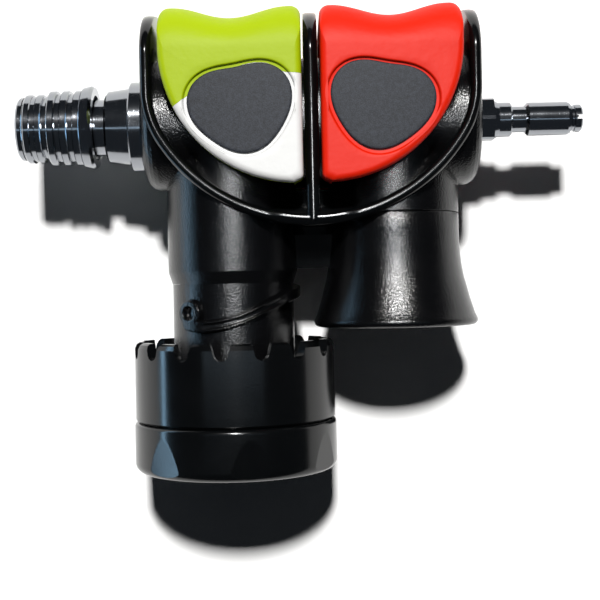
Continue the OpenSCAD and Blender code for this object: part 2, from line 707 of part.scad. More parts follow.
// The pin that bears on the lower side of the cam rib
module cam_follower() color("silver") placed() at_signal() rotate([0, follower_angle, 0])
    translate([0, 0, follower_r]) bar_y(0.8, deck_y - 1, cam_y(follower_angle) - cam_w / 2 - free_gap - 0.3);

flat_lean = 3.6;
module cap_end_ring() color("#1b1c1f") placed() at_signal() difference() {
    low = -cap_bottom;
    grille_seat = low + 3.2;
    turned_y(concat([[skirt_in - seat_gap, seam_y + ring_lap], [skirt_in - seat_gap, seam_y - run_gap],
        [cap_end_r - 0.6, seam_y - run_gap], [cap_end_r, seam_y - 0.7]],
        arc(cap_end_r - 2.6, low + 2.6, 2.6, 0, -90),
        [[skirt_in - 4, low], [skirt_in - 4, grille_seat], [skirt_in - 2, grille_seat],
        [skirt_in - 2, seam_y + ring_lap]]));
    // Each flat leans in towards the bottom, so its outline is a triangle with its point at the seam
    for (i = [0:flats - 1]) rotate([0, 10.6 + 360 * i / flats, 0])
        translate([-cap_r, seam_y - 1, cap_end_r]) rotate([-flat_lean, 0, 0])
            translate([0, -2 * cap_end_h, 0]) cube([cap_d, 2 * cap_end_h, 5]);
}

module sound_grille() color("#202226") placed() at_signal() difference() {
    y = -cap_bottom + 3.2;
    bar_y(skirt_in - 2 - seat_gap, y, y + 1.6);
    for (i = [0:11]) rotate([0, 30 * i, 0]) translate([0, 0, skirt_in - 8]) bar_y(2, y - 1, y + 3);
    for (i = [0:5]) rotate([0, 60 * i, 0]) translate([0, 0, 7]) bar_y(2, y - 1, y + 3);
}

// ---- Horn ----

diaphragm_pocket = 7;
clamp_t = 2;
diaphragm_t = 0.4;
clamp_y = -horn_neck + diaphragm_pocket;
diaphragm_y = clamp_y - clamp_t;
bell_top = diaphragm_y - diaphragm_t;
flare_start = 28;
flare_rise = bell_d / 2 - 0.9 - neck_r;
flare_l = bell_end - 1 - flare_start;
flare_r = (flare_l * flare_l + flare_rise * flare_rise) / (2 * flare_rise);
flare_turn = asin(flare_l / flare_r);
// The flare's outline, or one that lies a gap outside it
function bell_flare(gap) = arc(neck_r + flare_r, -flare_start, flare_r - gap, 180, 180 + flare_turn, 10);
mouth_r = bell_d / 2 - bell_wall;
throat_r = throat_d / 2;
throat_top = bell_top - 0.5;

// Radius of the horn's passage at a share of its length from throat to mouth
function horn_r(share) = throat_r * pow(mouth_r / throat_r, pow(share, 1.2));

module horn_bell() color("#1b1c1f") placed() at_horn() difference() {
    turned_y(concat([[0, bell_top], [diaphragm_d / 2, bell_top],
        [diaphragm_d / 2, -horn_neck - run_gap], [neck_r - seam_chamfer, -horn_neck - run_gap],
        [neck_r, -horn_neck - run_gap - seam_chamfer]],
        bell_flare(0), arc(bell_d / 2 - 0.9, -bell_end + 1, 1, 20, -90, 4), [[0, -bell_end]]));
    // The passage, from the throat to the mouth
    steps = 14;
    length = bell_end + throat_top;
    turned_y(concat([[0, bell_top + 1], [throat_r, bell_top + 1]],
        [for (i = [0:steps]) [horn_r(i / steps), throat_top - length * i / steps]],
        [[mouth_r, -bell_end - 1], [0, -bell_end - 1]]));
    // The air chamber round the throat, open towards the diaphragm
    pipe_y(diaphragm_d / 2 - 3, throat_r + 1.6, bell_top - 5, bell_top + 1);
    bar_y(throat_r + 2, throat_top, bell_top + 1);
}

module horn_diaphragm() color("silver") placed() at_horn()
    bar_y(diaphragm_d / 2, bell_top, diaphragm_y);
module diaphragm_ring() color("goldenrod") placed() at_horn()
    pipe_y(diaphragm_d / 2, diaphragm_d / 2 - 3, diaphragm_y, clamp_y);

// ---- Inlet ----

module inlet_plug() color("silver") placed() {
    hex_end = half_l + hex_t;
    cone_end = hex_end + 1.4;
    ring_end = cone_end + 3.5;
    neck_end = ring_end + plug_neck_l;
    tip = neck_end + plug_l;
    plug_r = plug_d / 2;
    crown_r = plug_r - 0.8;
    difference() {
        union() {
            intersection() {
                bar_x(hex_af / 2 * 1.11, half_l, hex_end);
                translate([half_l, 0, 0]) rotate([0, 90, 0])
                    cylinder(d = hex_af / cos(30), h = hex_t, $fn = 6);
            }
            turned_x([[0, half_l - inlet_shank_l], [inlet_shank_d / 2, half_l - inlet_shank_l],
                [inlet_shank_d / 2, half_l], [plug_neck_d / 2 + 1, half_l], [plug_neck_d / 2 + 1, hex_end - eps],
                [hex_af / 2 - 0.3, hex_end - eps], [plug_r + 0.15, cone_end], [plug_r + 0.15, ring_end - 0.4],
                [plug_r - 0.25, ring_end], [plug_neck_d / 2, ring_end], [plug_neck_d / 2, neck_end],
                [plug_r - 0.7, neck_end], [plug_r, neck_end + 0.7], [plug_r, tip - 1.2], [plug_r - 0.35, tip - 0.4],
                [crown_r - 0.3, tip], [crown_r - 0.3, tip + 0.6], [crown_r, tip + 0.8],
                [crown_r, tip + 2.4], [crown_r - 0.4, tip + 2.8], [0, tip + 2.8]]);
        }
        bar_x(2, half_l - inlet_shank_l - 1, tip + 4);
        for (a = [0, 90]) rotate([a, 0, 0])
            translate([tip + 1.2, -0.6, -plug_r]) cube([3, 1.2, plug_d]);
    }
}

module inlet_seal() color("#202020") placed() ring_x(inlet_shank_d / 2 + 0.75, 0.6, half_l - 0.65);
module inlet_filter() color("goldenrod") placed()
    bar_x(passage_d / 2 - seat_gap / 2, half_l - inlet_shank_l - 2.6, half_l - inlet_shank_l - 0.1);

// ---- Outlet, drawn towards +X and mirrored to the left ----

adapter_end = half_l + collar_t + taper_l;
socket_r = socket_d / 2;
socket_bore_r = socket_bore / 2;
socket_thread_r = 6.4;
socket_thread_l = 6;
bore_end = adapter_end + 7.9;
valve_chamber_r = 4;
valve_face = adapter_end + 6;
lip_t = 1.4;
sleeve_r = sleeve_d / 2;
sleeve_rear = adapter_end + sleeve_travel + free_gap;
sleeve_front = socket_end - lip_t - 0.1;
pocket_r = socket_r + 1.1;
clip_x = sleeve_rear + 1.2;
clip_t = 0.8;
pocket_end = clip_x + clip_t + 6.9;
ball_x = socket_end - 7.9;
ball_ring_r = socket_bore_r + ball_d / 2 + 0.15;
balls = 6;
seal_x = adapter_end + 13.4;

module to_outlet() mirror([1, 0, 0]) children();

module outlet_adapter() color("silver") placed() to_outlet() difference() {
    turned_x([[0, half_l - outlet_shank_l], [outlet_shank_d / 2, half_l - outlet_shank_l],
        [outlet_shank_d / 2, half_l], [collar_d / 2 - 0.4, half_l], [collar_d / 2, half_l + 0.4],
        [collar_d / 2, half_l + collar_t - 0.4], [collar_d / 2 - 0.4, half_l + collar_t],
        [collar_d / 2 - 1.6, half_l + collar_t], [collar_d / 2 - 2.4, adapter_end - 0.6],
        [collar_d / 2 - 3, adapter_end], [0, adapter_end]]);
    bar_x(2.6, half_l - outlet_shank_l - 1, adapter_end);
    bar_x(socket_thread_r + seat_gap / 2, adapter_end - socket_thread_l, adapter_end + 1);
}

module adapter_seal() color("#202020") placed() to_outlet()
    ring_x(outlet_shank_d / 2 + 0.95, 0.6, half_l - 0.65);

module outlet_socket() color("silver") placed() to_outlet() difference() {
    turned_x([[0, adapter_end - socket_thread_l], [socket_thread_r, adapter_end - socket_thread_l],
        [socket_thread_r, adapter_end], [socket_r, adapter_end], [socket_r, socket_end - lip_t],
        [socket_r + 0.9, socket_end - lip_t], [socket_r + 0.9, socket_end - 0.5],
        [socket_r + 0.4, socket_end], [0, socket_end]]);
    bar_x(socket_bore_r, bore_end, socket_end + 1);
    bar_x(valve_chamber_r, adapter_end - socket_thread_l - 1, valve_face);
    bar_x(2.2, valve_face - 1, bore_end + 1);
    pipe_x(socket_bore_r + 1.4, socket_bore_r / 2, seal_x - 0.7, seal_x + 0.7);
    turned_x([[0, socket_end - 0.5], [socket_bore_r, socket_end - 0.5], [socket_bore_r + 0.6, socket_end + 0.1],
        [0, socket_end + 0.1]]);
    for (i = [0:balls - 1]) rotate([360 * i / balls + 30, 0, 0])
        translate([ball_x, 0, 0]) bar_z(ball_d / 2 + run_gap, socket_bore_r - 1, socket_r + 1);
    pipe_x(socket_r + 1, socket_r - 0.6, clip_x - seat_gap, clip_x + clip_t + seat_gap);
}

module socket_seal() color("#202020") placed() to_outlet() ring_x(socket_bore_r + 0.75, 0.6, seal_x);

module locking_balls() color("silver") placed() to_outlet() for (i = [0:balls - 1])
    rotate([360 * i / balls + 30, 0, 0]) translate([ball_x, 0, ball_ring_r]) sphere(ball_d / 2);

// A stretch of ribs and grooves, as points of the sleeve's outline
function grip(start, pitch, count, r, h) = [for (i = [0:count - 1]) let (x = start + pitch * i)
    each [[r, x], [r + h - 0.25, x], [r + h, x + 0.25], [r + h, x + pitch * 0.6 - 0.25],
        [r + h - 0.25, x + pitch * 0.6], [r, x + pitch * 0.6]]];

module outlet_sleeve() color("silver") placed() to_outlet() difference() {
    flange_end = sleeve_rear + 3;
    ring_gap = sleeve_rear + 12.5;
    turned_x(concat([[0, sleeve_rear], [sleeve_r + 1.6, sleeve_rear], [sleeve_r + 2.1, sleeve_rear + 0.8],
        [sleeve_r + 1.6, flange_end], [sleeve_r, flange_end]],
        grip(flange_end + 0.2, 3.4, 3, sleeve_r, grip_h),
        [[sleeve_r, ring_gap], [sleeve_r - 1, ring_gap], [sleeve_r - 1, ring_gap + 1.1],
        [sleeve_r - 0.45, ring_gap + 1.1]],
        grip(ring_gap + 1.2, 3, 2, sleeve_r - 0.45, 0.45),
        [[sleeve_r - 0.45, sleeve_front - 0.4], [sleeve_r - 0.85, sleeve_front], [0, sleeve_front]]));
    bar_x(socket_r + run_gap, sleeve_rear - 1, sleeve_front + 1);
    bar_x(pocket_r, sleeve_rear - 1, pocket_end);
    // Relief that the balls spread into when the sleeve is drawn back
    bar_x(socket_r + 0.65, ball_x + 1.7, ball_x + 4.1);
}

module sleeve_spring() color("gray") placed() to_outlet() rotate([0, 0, -90])
    coil_y(socket_r + 0.6, 0.3, clip_x + clip_t + run_gap, pocket_end - run_gap, 6, 16);

module sleeve_clip() color("silver") placed() to_outlet() difference() {
    pipe_x(pocket_r - 0.15, socket_r - 0.6 + run_gap, clip_x, clip_x + clip_t);
    translate([clip_x - 1, -socket_r - 3, -1]) cube([clip_t + 2, 6, 2]);
}

poppet_head = 2;
module outlet_poppet() color("goldenrod") placed() to_outlet() {
    head_at = valve_face - 0.1;
    tail = adapter_end - socket_thread_l + poppet_travel + free_gap;
    turned_x([[0, tail], [1.6, tail], [1.6, head_at - poppet_head],
        [valve_chamber_r - 0.5, head_at - poppet_head], [valve_chamber_r - 0.5, head_at],
        [1.2, head_at], [1.2, bore_end + 2.2], [0.8, bore_end + 2.6], [0, bore_end + 2.6]]);
}
module poppet_spring() color("gray") placed() to_outlet() rotate([0, 0, -90])
    coil_y(2.95, 0.3, adapter_end - socket_thread_l + run_gap, valve_face - 0.1 - poppet_head - run_gap, 6);

valve_body();
guard_front();
guard_rear();
guard_screws();
signal_button();
signal_button_panel();
signal_labels();
signal_stem();
signal_head_disc();
signal_return_spring();
signal_stem_guide();
signal_stem_seal();
signal_valve_seat();
signal_seat_ring();
horn_button();
horn_labels();
horn_stem();
horn_head_disc();
horn_return_spring();
horn_stem_guide();
horn_stem_seal();
horn_valve_seat();
horn_seat_ring();
signal_tube();
cam_rib();
striker();
striker_spring();
striker_plate();
plate_ring();
cap_retainer();
cap_seal();
volume_cap();
cam_follower();
cap_end_ring();
sound_grille();
horn_bell();
horn_diaphragm();
diaphragm_ring();
inlet_plug();
inlet_seal();
inlet_filter();
outlet_adapter();
adapter_seal();
outlet_socket();
socket_seal();
locking_balls();
outlet_sleeve();
sleeve_spring();
sleeve_clip();
outlet_poppet();
poppet_spring();
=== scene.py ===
import json
import math

import bmesh
import bpy
from mathutils import Matrix, Vector


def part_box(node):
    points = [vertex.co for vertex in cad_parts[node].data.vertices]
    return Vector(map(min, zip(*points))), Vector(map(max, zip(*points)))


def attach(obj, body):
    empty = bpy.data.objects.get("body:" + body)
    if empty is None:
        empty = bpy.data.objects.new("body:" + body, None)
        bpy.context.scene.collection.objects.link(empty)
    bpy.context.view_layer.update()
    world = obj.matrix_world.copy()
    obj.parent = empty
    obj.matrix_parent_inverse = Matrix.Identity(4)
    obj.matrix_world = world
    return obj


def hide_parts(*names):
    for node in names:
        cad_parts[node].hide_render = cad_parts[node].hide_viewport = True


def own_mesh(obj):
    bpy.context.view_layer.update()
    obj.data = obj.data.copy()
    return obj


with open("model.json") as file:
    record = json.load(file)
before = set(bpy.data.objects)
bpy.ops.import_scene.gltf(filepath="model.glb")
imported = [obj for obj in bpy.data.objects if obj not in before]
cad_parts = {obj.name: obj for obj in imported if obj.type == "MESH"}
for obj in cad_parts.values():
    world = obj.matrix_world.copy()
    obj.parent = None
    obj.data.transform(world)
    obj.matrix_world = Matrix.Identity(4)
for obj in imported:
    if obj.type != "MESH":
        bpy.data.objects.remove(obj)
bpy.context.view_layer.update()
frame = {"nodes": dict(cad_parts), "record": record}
mm = 0.001
nodes = frame["nodes"]
print("frame loaded:", len(nodes), "nodes")


def middleOf(node, axis):
    low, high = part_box(node)
    return (low[axis] + high[axis]) / 2


# the barrel's centre, from which every piece is drawn in millimetres
origin = Vector((middleOf("valve_body", 0), middleOf("inlet_plug", 1), middleOf("inlet_plug", 2)))
tubeX = (middleOf("horn_bell", 0) - origin.x) / mm
toFrame = Matrix.Translation(origin) @ Matrix.Scale(mm, 4)

# straight above the front face, in millimetres from the barrel's centre
camera = {
    "place": (-3.85, -42.5, 330),
    "lens": 72.7,
    "roll": -1.2,
    "shiftY": -0.0333,
}


def makeCamera(settings):
    data = bpy.data.cameras.new("camera")
    data.lens = settings["lens"]
    data.shift_y = settings["shiftY"]
    data.clip_start, data.clip_end = 0.01, 60
    holder = bpy.data.objects.new("camera", data)
    holder.location = toFrame @ Vector(settings["place"])
    holder.rotation_euler = (0, 0, math.radians(settings["roll"]))
    bpy.context.collection.objects.link(holder)
    bpy.context.scene.camera = holder


makeCamera(camera)
print("camera placed")


class Value:  # one output socket that takes part in sums
    def __init__(self, finish, socket):
        self.finish, self.socket = finish, socket

    def __add__(self, other):
        return self.finish.math("ADD", self, other)

    def __sub__(self, other):
        return self.finish.math("SUBTRACT", self, other)

    def __rsub__(self, other):
        return self.finish.math("SUBTRACT", other, self)

    def __mul__(self, other):
        return self.finish.math("MULTIPLY", self, other)

    __radd__ = __add__
    __rmul__ = __mul__


class Finish:  # one material and the nodes behind it
    def __init__(self, name, **constants):
        self.material = bpy.data.materials.new(name)
        self.material.use_nodes = True
        self.tree = self.material.node_tree
        self.shader = self.tree.nodes["Principled BSDF"]
        for socket, value in constants.items():
            self.shader.inputs[socket.replace("_", " ")].default_value = value
        self.place = self.node("ShaderNodeTexCoord", output="Object")

    @classmethod
    def onTree(cls, tree):  # for the world
        finish = cls.__new__(cls)
        finish.tree = tree
        return finish

    def node(self, kind, settings={}, inputs={}, output=0):
        made = self.tree.nodes.new(kind)
        for key, value in settings.items():
            setattr(made, key, value)
        for key, value in inputs.items():
            self.feed(made.inputs[key], value)
        return Value(self, made.outputs[output])

    def feed(self, socket, value):
        if isinstance(value, Value):
            self.tree.links.new(value.socket, socket)
        else:
            socket.default_value = value

    def math(self, operation, first, second=0.0):
        return self.node("ShaderNodeMath", {"operation": operation}, {0: first, 1: second})

    def noise(self, size, detail=3.0, roughness=0.5):
        return self.node("ShaderNodeTexNoise", inputs={
            "Vector": self.place, "Scale": 1 / size, "Detail": detail, "Roughness": roughness})

    def cells(self, size):
        return self.node("ShaderNodeTexVoronoi", inputs={"Vector": self.place, "Scale": 1 / size})

    def step(self, value, low, high):  # a soft threshold
        return self.node("ShaderNodeMapRange", {"interpolation_type": "SMOOTHSTEP"}, {
            "Value": value, "From Min": low, "From Max": high})

    def blend(self, factor, first, second):  # between two colours
        return self.node("ShaderNodeMix", {"data_type": "RGBA"}, {0: factor, 6: first, 7: second}, 2)

    def split(self, axis):
        return self.node("ShaderNodeSeparateXYZ", inputs={0: self.place}, output=axis)

    def bump(self, height, depth):  # depth in metres
        self.feed(self.shader.inputs["Normal"], self.node("ShaderNodeBump", inputs={
            "Height": height, "Distance": depth}))

    def paint(self, **inputs):
        for socket, value in inputs.items():
            self.feed(self.shader.inputs[socket.replace("_", " ")], value)
        return self.material


def rgb(*levels):  # from screen values, 0 to 255, to the shader's
    return tuple(v / 255 / 12.92 if v <= 10 else ((v / 255 + 0.055) / 1.055) ** 2.4 for v in levels) + (1.0,)


def grainedPlastic(name, colour, grain, depth, roughness, gloss=0.5):
    f = Finish(name, Specular_IOR_Level=gloss)
    pebbles = f.cells(grain)
    fine = f.noise(grain * 0.35, 4.0)
    f.bump(pebbles * 0.7 + fine * 0.5, depth)
    haze = f.noise(0.012, 3.0)
    dust = f.step(f.noise(0.0016, 6.0, 0.7), 0.66, 0.78)
    dusty = tuple(v * 2.4 + 0.004 for v in colour[:3]) + (1,)
    return f.paint(
        Base_Color=f.blend(dust * 0.25 + haze * 0.15, colour, dusty),
        Roughness=haze * 0.16 + fine * 0.10 + dust * 0.2 + (roughness - 0.13))


def mouldedPlastic(name, colour, deep, roughness):
    f = Finish(name, Specular_IOR_Level=0.2)
    orangePeel = f.noise(0.0022, 2.0)
    fine = f.noise(0.00022, 3.0, 0.6)
    scuffs = f.step(f.noise(0.0009, 8.0, 0.75), 0.64, 0.74)
    cloud = f.noise(0.014, 2.0)
    f.bump(orangePeel * 1.0 + fine * 0.12 - scuffs * 0.05, 0.00008)
    return f.paint(
        Base_Color=f.blend(cloud * 0.5 + scuffs * 0.15, colour, deep),
        Roughness=cloud * 0.08 + fine * 0.1 + scuffs * 0.2 + (roughness - 0.09))


def polishedMetal(name, colour, dull, roughness, rings, axis="X"):
    f = Finish(name, Metallic=1.0)
    cloud = f.noise(0.006, 3.0)
    marks = f.step(f.noise(0.0007, 7.0, 0.7), 0.62, 0.72)
    along = f.split(axis)
    turned = f.node("ShaderNodeTexNoise", {"noise_dimensions": "1D"},
                    {"W": along * (1 / 0.00012), "Scale": 1.0, "Detail": 2.0})
    f.bump(turned * rings + marks * 0.15 + cloud * 0.4, 0.00002)
    return f.paint(
        Base_Color=f.blend(cloud * 0.5 + marks * 0.4, colour, dull),
        Roughness=cloud * 0.1 + marks * 0.15 + turned * 0.06 + (roughness - 0.08))


def plateGrey(name):
    f = Finish(name, Specular_IOR_Level=0.2)
    specks = f.noise(0.00028, 2.0, 0.8)
    blotches = f.noise(0.0011, 3.0)
    tone = f.step(specks * 0.75 + blotches * 0.25, 0.36, 0.66)
    f.bump(specks + blotches * 0.3, 0.00004)
    return f.paint(
        Base_Color=f.blend(tone, rgb(32, 34, 39), rgb(64, 68, 77)),
        Roughness=specks * 0.2 + 0.42)


def rubberBlack(name):
    f = Finish(name, Specular_IOR_Level=0.3)
    fine = f.noise(0.0003, 4.0)
    f.bump(fine, 0.00002)
    return f.paint(Base_Color=f.blend(fine, rgb(16, 16, 17), rgb(34, 34, 36)), Roughness=fine * 0.2 + 0.5)


# black: colour, size and depth of the grain in metres, roughness
# the others: colour, second tone, roughness, then for metal the turning marks and their axis
finishes = {
    "black_plastic": grainedPlastic("black_grained", rgb(6, 6, 7), 0.0005, 0.00007, 0.18),
    "black_smooth": grainedPlastic("black_smooth", rgb(6, 7, 8), 0.0005, 0.000006, 0.17, 0.4),
    "lime_plastic": mouldedPlastic("lime_moulded", rgb(184, 210, 2), rgb(174, 200, 0), 0.5),
    "white_plastic": mouldedPlastic("white_moulded", rgb(253, 253, 252), rgb(248, 249, 248), 0.45),
    "orange_plastic": mouldedPlastic("orange_moulded", rgb(250, 38, 0), rgb(238, 26, 0), 0.5),
    "label_grey": plateGrey("plate_grey"),
    "chrome": polishedMetal("chrome", rgb(158, 161, 166), rgb(140, 143, 148), 0.12, 0.3),
    "stainless": polishedMetal("stainless", rgb(186, 186, 188), rgb(150, 150, 152), 0.3, 1.0, "Y"),
    "spring_steel": polishedMetal("spring_steel", rgb(170, 170, 172), rgb(130, 130, 134), 0.3, 0.5, "Y"),
    "brass": polishedMetal("brass", rgb(214, 178, 104), rgb(176, 138, 72), 0.26, 0.8, "Y"),
    "seal_rubber": rubberBlack("seal_rubber"),
}

slotOf = {part["node"]: part["material_slot"] for part in frame["record"]["subparts"]}
for name, holder in nodes.items():
    holder.data.materials.clear()
    holder.data.materials.append(finishes["black_smooth" if name == "volume_cap" else slotOf[name]])
print("finishes made:", len(finishes))


def makePiece(name, points, faces, finish=None, smoothAngle=35):  # from points in mm
    mesh = bpy.data.meshes.new(name)
    mesh.from_pydata([toFrame @ Vector(p) for p in points], [], faces)
    piece = bpy.data.objects.new(name, mesh)
    bpy.context.collection.objects.link(piece)
    tidyMesh(mesh, smoothAngle)
    if finish:
        mesh.materials.append(finishes[finish])
    return piece


def tidyMesh(mesh, smoothAngle=35):
    work = bmesh.new()
    work.from_mesh(mesh)
    bmesh.ops.remove_doubles(work, verts=work.verts, dist=2e-6)
    bmesh.ops.recalc_face_normals(work, faces=work.faces)
    work.to_mesh(mesh)
    work.free()
    mesh.shade_smooth()
    mesh.set_sharp_from_angle(angle=math.radians(smoothAngle))


def grid(rows, capEnds=False):  # faces between equal closed rows of points
    width = len(rows[0])
    faces = []
    for i in range(len(rows) - 1):
        for j in range(width):
            a, b = i * width + j, i * width + (j + 1) % width
            faces.append((a, b, b + width, a + width))
    if capEnds:
        faces.append(tuple(range(width))[::-1])
        faces.append(tuple((len(rows) - 1) * width + j for j in range(width)))
    return [p for row in rows for p in row], faces


def carve(piece, tool, operation="DIFFERENCE"):  # the tool is used up
    cut = piece.modifiers.new("cut", "BOOLEAN")
    cut.operation, cut.solver, cut.object = operation, "MANIFOLD", tool
    graph = bpy.context.evaluated_depsgraph_get()
    made = bpy.data.meshes.new_from_object(piece.evaluated_get(graph))
    piece.modifiers.clear()
    piece.data = made
    tidyMesh(made)
    bpy.data.objects.remove(tool)
    return piece


def rod(name, radius, low, high, axis, centre, steps=128):  # along X or Y
    rows = []
    for along in (low, high):
        row = []
        for i in range(steps):
            a = 2 * math.pi * i / steps
            u, v = centre[0] + radius * math.cos(a), centre[1] + radius * math.sin(a)
            row.append((u, along, v) if axis == "Y" else (along, u, v))
        rows.append(row)
    return makePiece(name, *grid(rows, capEnds=True))


def boxPiece(name, low, high):
    corners = [(x, y, z) for x in (low[0], high[0]) for y in (low[1], high[1]) for z in (low[2], high[2])]
    sides = [(0, 1, 3, 2), (4, 6, 7, 5), (0, 4, 5, 1), (2, 3, 7, 6), (0, 2, 6, 4), (1, 5, 7, 3)]
    return makePiece(name, corners, sides)


def arc(cx, cy, r, start, end, steps):
    return [(cx + r * math.cos(math.radians(start + (end - start) * i / steps)),
             cy + r * math.sin(math.radians(start + (end - start) * i / steps))) for i in range(steps + 1)]


def stand(piece, body, *replaced, slot=None):  # the piece rides on a body and stands for CAD nodes
    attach(piece, body)
    if replaced:
        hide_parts(*replaced)
    return piece


def softenLine(line, rounds=2):  # cuts the corners of an open line and keeps its ends
    for turn in range(rounds):
        line = [line[0]] + [q for a, b in zip(line, line[1:]) for q in [
            (a[0] * 0.75 + b[0] * 0.25, a[1] * 0.75 + b[1] * 0.25),
            (a[0] * 0.25 + b[0] * 0.75, a[1] * 0.25 + b[1] * 0.75)]] + [line[-1]]
    return line


button = {
    "inner": 2.4, "outer": 38.7,  # from the middle plane
    "top": 28.4,
    "half": 26.5,  # half of the depth
    "radius": 35.1, "pivotY": 17.2,  # lower edge
    "corner": 2.6,
    "dip": 2.9, "dipWidth": 30.0,
    "crown": 10.5,  # depth over which the top rolls back
    "faceTop": 16.2,  # where that roll starts
    "edge": 1.8,  # bevel round the face
    "lipOut": 0.9, "lipDepth": 0.95,  # recess round the plate
    "slotRadius": 17.8, "travel": 3.5,  # room for the barrel
    "wall": 2.4, "ceiling": 18.1, "insideHalf": 23.1,  # room for the stem and spring
    "panelDeep": 1.9, "panelGap": 0.06,  # the part below the colour line
}
plate = {
    "x": 17.7, "y": 1.5, "radius": 12.1, "thickness": 0.8, "sunk": 0.12,
    "oval": 1.1, "ovalTurn": 8, "corners": 1.0, "cornerTurn": 19,  # how far its outline leaves a circle
}


def plateRadius(angle, grow=0.0):
    a, q = math.degrees(angle), plate
    return (q["radius"] + grow + q["oval"] * math.cos(math.radians(2 * (a + q["ovalTurn"])))
            + q["corners"] * math.cos(math.radians(3 * (a - q["cornerTurn"]))))


def buttonOutline(inset):  # anticlockwise from the low inner corner
    b = button
    pivotX = b["outer"] - b["radius"]
    inner, outer, r = b["inner"] + inset, b["outer"] - inset, b["radius"] - inset
    low = -math.degrees(math.acos((inner - pivotX) / r))
    points = arc(pivotX, b["pivotY"], r, low + 3.5, 0, 60)
    points += [(outer, b["pivotY"] + (b["top"] - b["corner"] - b["pivotY"]) * i / 8) for i in range(1, 8)]
    points += arc(outer - b["corner"], b["top"] - b["corner"], b["corner"], 0, 90, 8)
    middle, span = (inner + outer) / 2, outer - inner - 2 * b["corner"]
    for i in range(1, 40):
        x = outer - b["corner"] - span * i / 40
        away = abs(x - middle) / (b["dipWidth"] / 2)
        points.append((x, b["top"] - (b["dip"] * (1 + math.cos(math.pi * away)) / 2 if away < 1 else 0)))
    points += arc(inner + b["corner"], b["top"] - b["corner"], b["corner"], 90, 180, 8)
    footY = b["pivotY"] + r * math.sin(math.radians(low))
    shoulder = b["top"] - b["corner"]
    points += [(inner, shoulder + (footY + 2.4 - shoulder) * i / 40) for i in range(1, 41)]
    points += arc(inner + 1.6, footY + 2.1, 1.6, 185, 262, 5)
    return points


def buttonBlock(name):  # the solid outer form, with its recess for the plate on both faces
    b = button
    levels = [0.0] + [b["half"] - b["crown"] + b["crown"] * math.sin(math.radians(t)) for t in
                      (0, 8, 16, 24, 32, 40, 48, 54, 60, 65, 70, 74, 78, 82, 86, 90)]
    front = []
    for z in levels:
        over = max(0.0, z - (b["half"] - b["edge"]))
        inset = b["edge"] - math.sqrt(max(0.0, b["edge"] ** 2 - over ** 2))
        squeeze = math.sqrt(max(0.0, 1 - (max(0.0, z - (b["half"] - b["crown"])) / b["crown"]) ** 2))
        row = []
        for x, y in buttonOutline(inset):
            row.append((x, b["faceTop"] + (y - b["faceTop"]) * squeeze if y > b["faceTop"] else y, z))
        front.append(row)
    rim = front[-1]
    for share in (0.35, 0.75):  # across the flat face to the recess
        front.append([faceShare(p, share, b["lipOut"] + 0.5) for p in rim])
    for grow, drop in ((0.42, 0.0), (0.2, 0.08), (0.0, 0.3), (-0.08, 0.6), (-0.25, 0.9), (-0.6, 1.0)):
        front.append([recessPoint(p, b["lipOut"] + grow, b["half"] - drop * b["lipDepth"]) for p in rim])
    rows = [[(x, y, -z) for x, y, z in row] for row in front[:0:-1]] + front
    return makePiece(name, *grid(rows, capEnds=True))


def recessPoint(p, grow, z):
    a = math.atan2(p[1] - plate["y"], p[0] - plate["x"])
    r = plateRadius(a, grow)
    return (plate["x"] + r * math.cos(a), plate["y"] + r * math.sin(a), z)


def faceShare(p, share, grow):
    q = recessPoint(p, grow, button["half"])
    return tuple(p[i] + (q[i] - p[i]) * share for i in range(3))


def hollowButton(piece):
    b = button
    carve(piece, boxPiece("hollow", (b["inner"] + b["wall"], -60, -b["insideHalf"]),
                          (b["outer"] - b["wall"], b["ceiling"], b["insideHalf"])))
    carve(piece, rod("slot", b["slotRadius"], -5, 50, "X", (b["travel"], 0)))
    return carve(piece, boxPiece("way", (-5, -60, -b["slotRadius"]), (50, b["travel"], b["slotRadius"])))


def mirrorX(piece):
    for vertex in piece.data.vertices:
        vertex.co.x = 2 * origin.x - vertex.co.x
    tidyMesh(piece.data)
    return piece


def copyOf(piece, name):
    twin = piece.copy()
    twin.data = piece.data.copy()
    twin.name = name
    bpy.context.collection.objects.link(twin)
    return twin


def dress(piece, finish):
    piece.data.materials.clear()
    piece.data.materials.append(finishes[finish])
    return piece


# colour line of the signal button, right-handed, from the outer side to the inner one
colourLine = [(42, 0.2), (38, 0.6), (34.6, 1.7), (31.5, 4.2), (24, 9.5), (16, 12.4), (11.2, 12.4), (9.2, 11.3),
              (7.4, 10.0), (4.5, 9.5), (0, 9.4)]


def panelTool(name, grow):
    outline = softenLine([(x, y + grow) for x, y in colourLine]) + [(0, -40), (42, -40)]
    depth = button["half"] - button["panelDeep"] - grow
    rows = [[(x, y, z) for x, y in outline] for z in (depth, button["half"] + 2)]
    return makePiece(name, *grid(rows, capEnds=True))


def makeButtons():
    block = buttonBlock("button_block")
    orange = hollowButton(copyOf(block, "horn_button_shell"))
    lime = mirrorX(copyOf(orange, "signal_button_shell"))
    white = mirrorX(copyOf(block, "signal_button_white"))
    tools = []
    for side in (1, -1):
        for grow in (button["panelGap"], 0.0):
            tool = mirrorX(panelTool("panel_tool", grow))
            if side < 0:
                for vertex in tool.data.vertices:
                    vertex.co.z = 2 * origin.z - vertex.co.z
                tidyMesh(tool.data)
            tools.append(tool)
    carve(lime, tools[0])
    carve(lime, tools[2])
    back = copyOf(white, "signal_button_white_back")
    carve(white, tools[1], "INTERSECT")
    carve(back, tools[3], "INTERSECT")
    bpy.data.objects.remove(block)
    stand(dress(orange, "orange_plastic"), "horn_button", "horn_button", slot="orange_plastic")
    stand(dress(lime, "lime_plastic"), "signal_button", "signal_button", slot="lime_plastic")
    stand(dress(white, "white_plastic"), "signal_button", "signal_button_panel", slot="white_plastic")
    stand(dress(back, "white_plastic"), "signal_button", slot="white_plastic")


